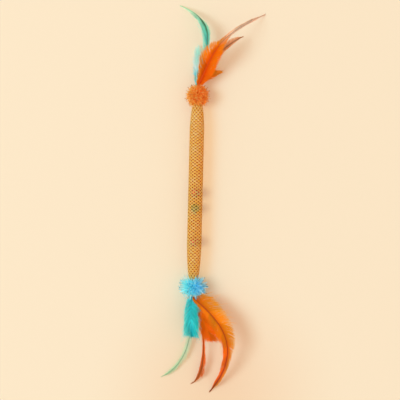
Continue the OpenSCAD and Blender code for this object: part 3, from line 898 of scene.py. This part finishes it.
feather(
    "orange_tuft", "feather_orange_end_tuft", "orange", seat=2,
    route=(((0.02, 0.08, -0.01), (0.08, 0.12, -0.02)), (0.25, 0.165), 0.6),
    left=((0, 0.14), (0.3, 0.4), (0.6, 0.42), (0.8, 0.2), (1, 0.06)),
    right=((0, 0.12), (0.35, 0.22), (0.7, 0.16), (1, 0.05)),
    materials=[
        dyed_barbs(
            "orange_dyed_down", ((0, "#FF9000"), (0.6, "#FFA010"), (1, "#FFC048")),
            edges=("#FFC050", "#FFB848"), roots=((0, "#FFFFFF"),),
        ),
        dyed_shaft("orange_down_shaft", ((0, "#F07814"), (1, "#FFA830"))),
    ],
    seed=35, barbs=300, slant=(60, 38), fluff=0.25, wisps=12,
)

# Five feathers are glued into the blue end: a blunt teal down in line with the sleeve, a pale green
# hackle to its left, and a slim rust, a long and a broad orange one to its right.
feather(
    "teal_down", "feather_blue_end_down", "blue", seat=1,
    route=(((0, 0.15, 0.04), (0.005, 0.3, 0.22)), (-0.02, 0.435), -0.1),
    left=(
        (0, 0.2), (0.08, 0.26), (0.2, 0.52), (0.27, 0.62), (0.32, 0.4), (0.38, 0.32), (0.6, 0.38),
        (0.92, 0.38), (1, 0.36),
    ),
    right=((0, 0.22), (0.12, 0.24), (0.3, 0.3), (0.6, 0.35), (0.92, 0.35), (1, 0.34)),
    materials=[
        dyed_barbs(
            "teal_dyed_down",
            ((0, "#50E8EC"), (0.3, "#44F0F0"), (0.55, "#50F8F8"), (0.8, "#28ECFA"), (1, "#20DCE8")),
            edges=("#48F0EC", "#98FFF8"), roots=((0, "#FFFFFF"),), depth=(0.62, 1.2),
        ),
        dyed_shaft("teal_down_shaft", ((0, "#18B0B8"), (1, "#48E8EC"))),
    ],
    seed=36, barbs=520, barb_w=0.42 * MM, slant=(55, 12), fluff=0.3, clumps=34, wisps=40, blunt=True,
)
feather(
    "pale_green_hackle", "feather_blue_end_hackle", "blue", seat=2,
    route=(((0, 0.4, -0.03), (-0.01, 0.72, -0.06)), (0.32, 0.9), 1),
    left=((0, 0.06), (0.4, 0.14), (0.6, 0.16), (0.85, 0.12), (1, 0)),
    right=((0, 0.06), (0.4, 0.14), (0.6, 0.16), (0.85, 0.12), (1, 0)),
    materials=[
        dyed_barbs(
            "pale_green_dyed_hackle", ((0, "#B4E8D0"), (0.6, "#D4F0CC"), (1, "#C0ECBC")),
            edges=("#F4F4D8", "#F0F6D4"),
        ),
        dyed_shaft("pale_green_hackle_shaft", ((0, "#7CA880"), (0.6, "#8CAC84"), (1, "#88A87C"))),
    ],
    seed=37, barbs=220, barb_w=0.3 * MM, slant=(40, 16), wisps=12,
)
feather(
    "slim_rust_feather", "feather_blue_end_slim", "blue", seat=3,
    route=(((-0.085, 0.16, 0), (-0.215, 0.82, 0.05)), (0, 0.96), 1),
    left=(
        (0, 0.1), (0.12, 0.2), (0.3, 0.34), (0.42, 0.25), (0.5, 0.08), (0.62, 0.08), (0.72, 0.17),
        (0.84, 0.15), (1, 0),
    ),
    right=((0, 0.04), (0.3, 0.05), (0.5, 0.04), (0.62, 0.07), (0.74, 0.13), (0.88, 0.1), (1, 0)),
    materials=[
        dyed_barbs(
            "rust_dyed_hackle", ((0, "#FF8408"), (0.4, "#FA7C10"), (0.7, "#FA8030"), (1, "#C06C30")),
            edges=("#FFA868", "#FF9048"),
        ),
        dyed_shaft("rust_hackle_shaft", ((0, "#C04808"), (0.5, "#963408"), (1, "#84481C"))),
    ],
    seed=38, barbs=340, slant=(50, 15),
)
feather(
    "long_bright_feather", "feather_blue_end_long", "blue", seat=0,
    route=(((-0.14, 0.14, 0.06), (-0.66, 0.42, 0.33)), (-0.212, 1.047), 1),
    left=(
        (0, 0.3), (0.04, 0.5), (0.12, 0.7), (0.2, 0.68), (0.29, 0.58), (0.385, 0.52), (0.45, 0.44),
        (0.53, 0.34), (0.6, 0.22), (0.9, 0.1), (1, 0),
    ),
    right=((0, 0.1), (0.12, 0.22), (0.25, 0.37), (0.4, 0.4), (0.5, 0.3), (0.6, 0.22), (0.9, 0.1), (1, 0)),
    materials=[
        dyed_barbs(
            "bright_orange_dyed_hackle",
            (
                (0, "#FF9008"), (0.2, "#FFA818"), (0.42, "#FFA014"), (0.58, "#FF8424"), (0.82, "#F07038"),
                (1, "#A8482C"),
            ),
            edges=("#FFC440", "#FF9010"), roots=((0, "#F0C0B0"),), fade=0.8,
        ),
        dyed_shaft("bright_orange_hackle_shaft", ((0, "#C04808"), (0.5, "#B03E0A"), (1, "#7A2A14"))),
    ],
    seed=39, barbs=620, barb_w=0.62 * MM, slant=(72, 16), wisps=40,
)
feather(
    "broad_orange_down", "feather_blue_end_wide", "blue", seat=4,
    route=(((-0.05, 0.14, 0.04), (-0.14, 0.35, 0.12)), (-0.21, 0.49), 0.5),
    left=((0, 0.1), (0.2, 0.25), (0.5, 0.38), (0.85, 0.42), (1, 0.36)),
    right=((0, 0.1), (0.2, 0.25), (0.5, 0.34), (0.85, 0.36), (1, 0.34)),
    materials=[
        dyed_barbs(
            "deep_orange_dyed_down", ((0, "#FF8800"), (0.5, "#FF8804"), (1, "#FF9414")),
            edges=("#FFA030", "#FFA030"), roots=((0, "#FFFFFF"),),
        ),
        dyed_shaft("deep_orange_down_shaft", ((0, "#F07008"), (1, "#FF8810"))),
    ],
    seed=40, barbs=420, barb_w=0.45 * MM, slant=(60, 18), fluff=0.22, blunt=True,
)
